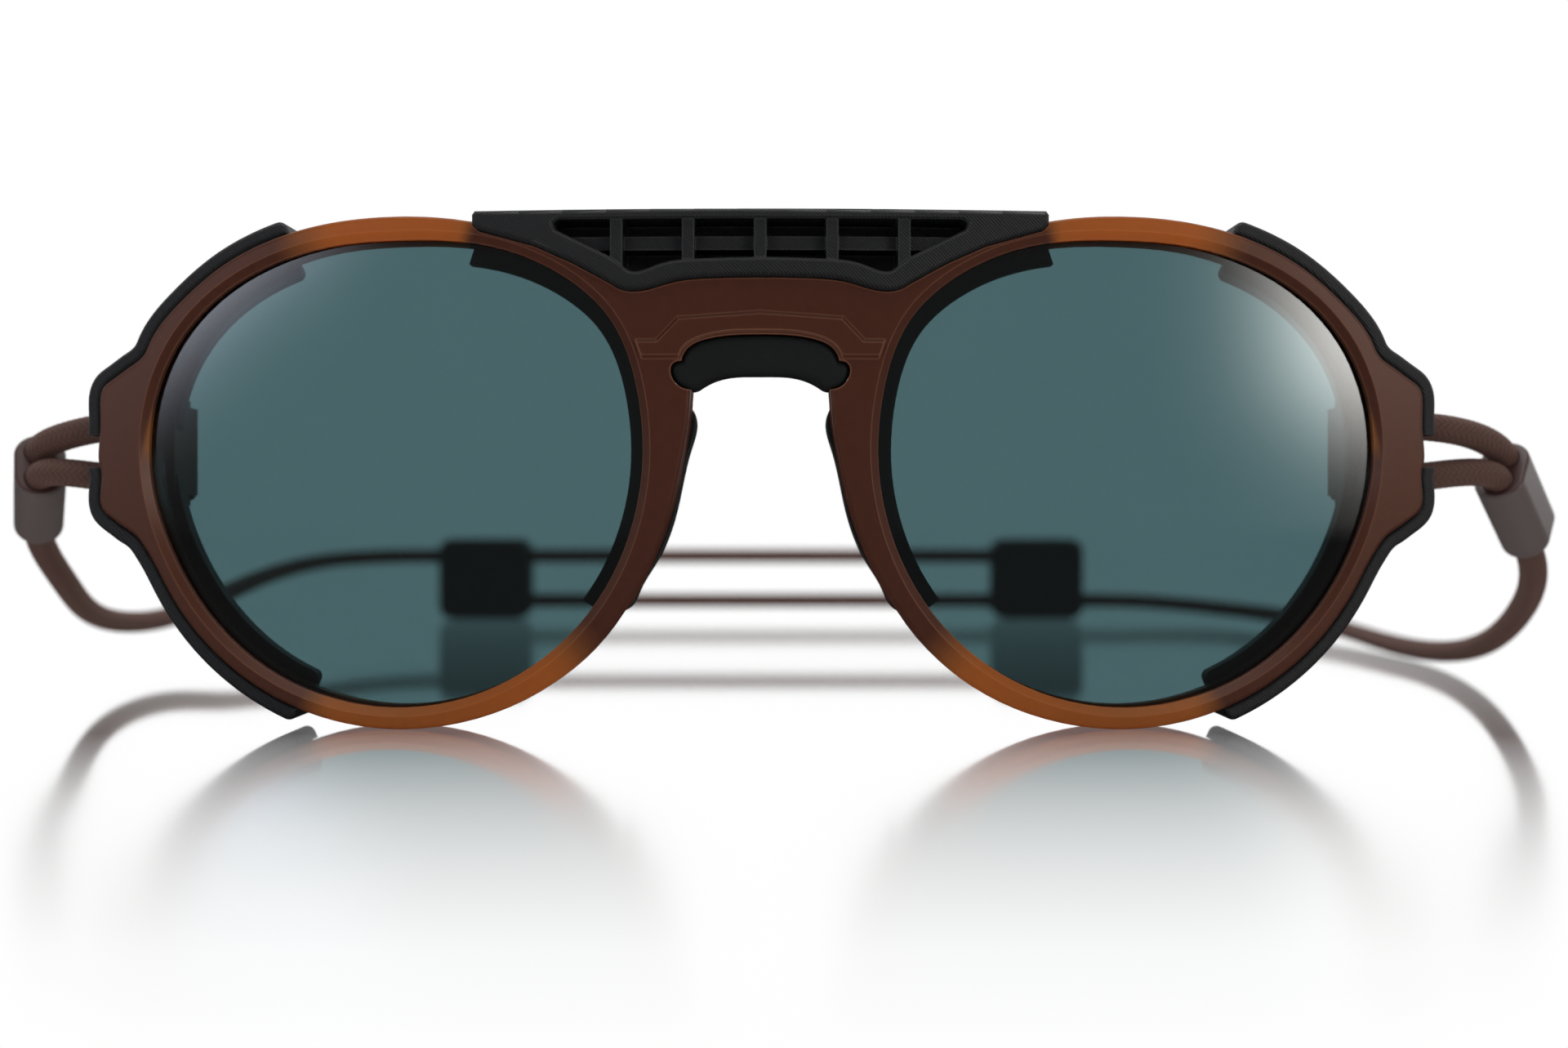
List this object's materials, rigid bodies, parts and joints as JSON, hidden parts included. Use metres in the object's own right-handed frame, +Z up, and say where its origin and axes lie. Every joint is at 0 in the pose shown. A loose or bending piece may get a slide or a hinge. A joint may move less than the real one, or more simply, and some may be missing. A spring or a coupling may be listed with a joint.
{
  "type": "glacier glasses",
  "caption": "Armless glacier glasses: wrapped brown front with two panto lenses, black rubber side and brow shields, saddle pad, and a braided cord loop with two sliders in place of temples.",
  "frame": {"origin": "crown of the nose saddle, on the plane of symmetry, at mid-width of the saddle pad", "axes": "+X towards the right-hand side seen from the front, +Y back towards the wearer and the cord, +Z up"},
  "size_m": [0.2019, 0.1738, 0.0534],
  "materials": {
    "frame": "satin, translucent at the thin rims",
    "lens": "polished, tinted, reflex coated",
    "shield": "matte, fine diagonal texture",
    "pad": "matte",
    "hardware": "satin",
    "ferrule": "satin",
    "crimp": "plain",
    "cord": "fine herringbone braid"
  },
  "bodies": {
    "front": {"front_frame": "frame", "lens_left": "lens", "lens_right": "lens", "brow_shield": "shield", "side_shield_left": "shield", "side_shield_right": "shield", "bridge_pad": "pad", "nose_pad_left": "pad", "nose_pad_right": "pad", "cord_cover_left": "hardware", "cord_cover_right": "hardware", "cord_loop_left": "cord", "cord_loop_right": "cord"},
    "strap": {"ferrule_left": "ferrule", "ferrule_right": "ferrule", "crimp_left": "crimp", "crimp_right": "crimp", "cord_left": "cord", "cord_right": "cord", "cord_left_span": "cord", "cord_right_span": "cord"},
    "slider_left_body": {"slider_left": "hardware", "slider_cap_left": "hardware", "cord_stop_left": "hardware", "cord_right_end": "cord"},
    "slider_right_body": {"slider_right": "hardware", "slider_cap_right": "hardware", "cord_stop_right": "hardware", "cord_left_end": "cord"}
  },
  "joints": [
    {"name": "strap_swing", "type": "hinge", "parent": "front", "child": "strap", "pos_m": [0, 0.0102, -0.0074], "axis": [1, 0, 0], "range_deg": [-90, 90], "deforming": ["cord_loop_left", "cord_loop_right"]},
    {"name": "slide_left", "type": "slide", "parent": "strap", "child": "slider_left_body", "axis": [1, 0, 0], "range_m": [0, 0.04], "deforming": ["cord_right_span"]},
    {"name": "slide_right", "type": "slide", "parent": "strap", "child": "slider_right_body", "axis": [-1, 0, 0], "range_m": [0, 0.04], "deforming": ["cord_left_span"]}
  ]
}
